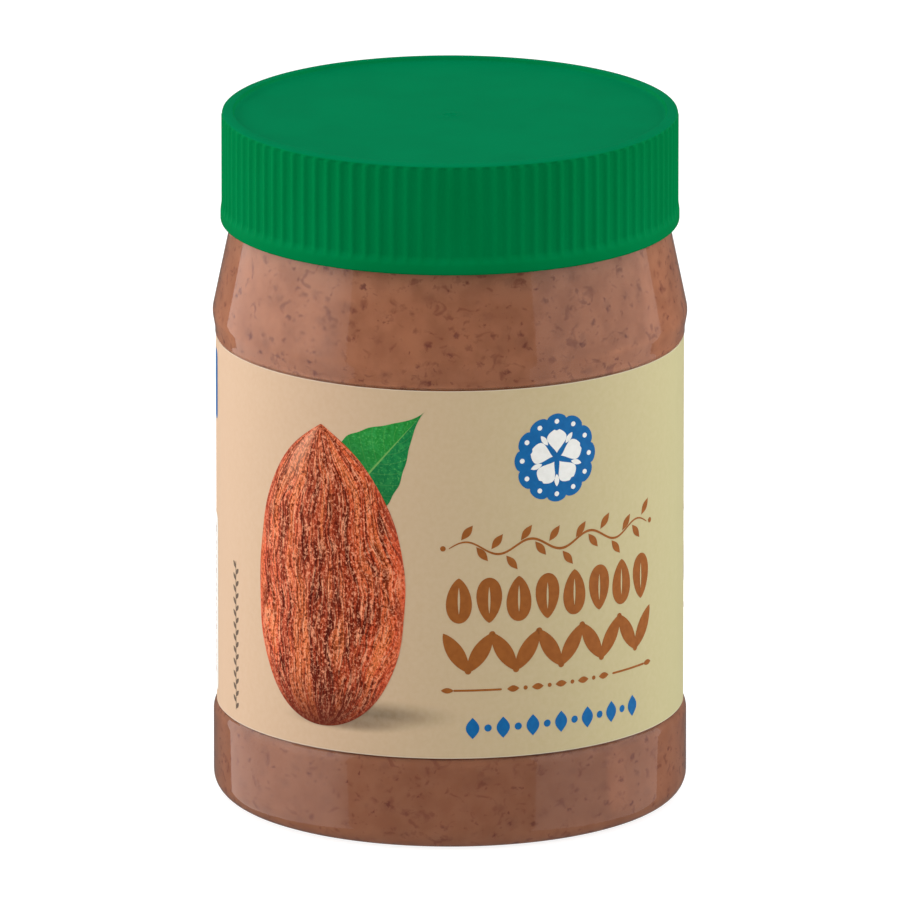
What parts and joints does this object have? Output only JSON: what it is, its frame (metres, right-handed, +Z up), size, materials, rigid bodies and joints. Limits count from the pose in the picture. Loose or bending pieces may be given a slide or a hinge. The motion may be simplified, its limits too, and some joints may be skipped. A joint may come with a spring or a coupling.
{
  "type": "jar of almond butter",
  "caption": "Clear screw-top jar filled with almond butter, with a ribbed green lid and a printed label wrapped round its middle.",
  "frame": {"origin": "middle of the base, on the surface that the jar stands on", "axes": "+Z up the jar's axis to the lid, -Y out of the label's front, +X to the right of the label's front"},
  "size_m": [0.0714, 0.0714, 0.1057],
  "materials": {
    "clear_pet": "clear, glossy, blow-moulded",
    "almond_butter": "smooth thick paste with dark specks",
    "lid_plastic": "satin moulded polypropylene",
    "label_film": "printed film, satin"
  },
  "bodies": {
    "root": {"jar": "clear_pet", "almond_butter": "almond_butter", "lid": "lid_plastic", "label": "label_film"}
  },
  "joints": []
}
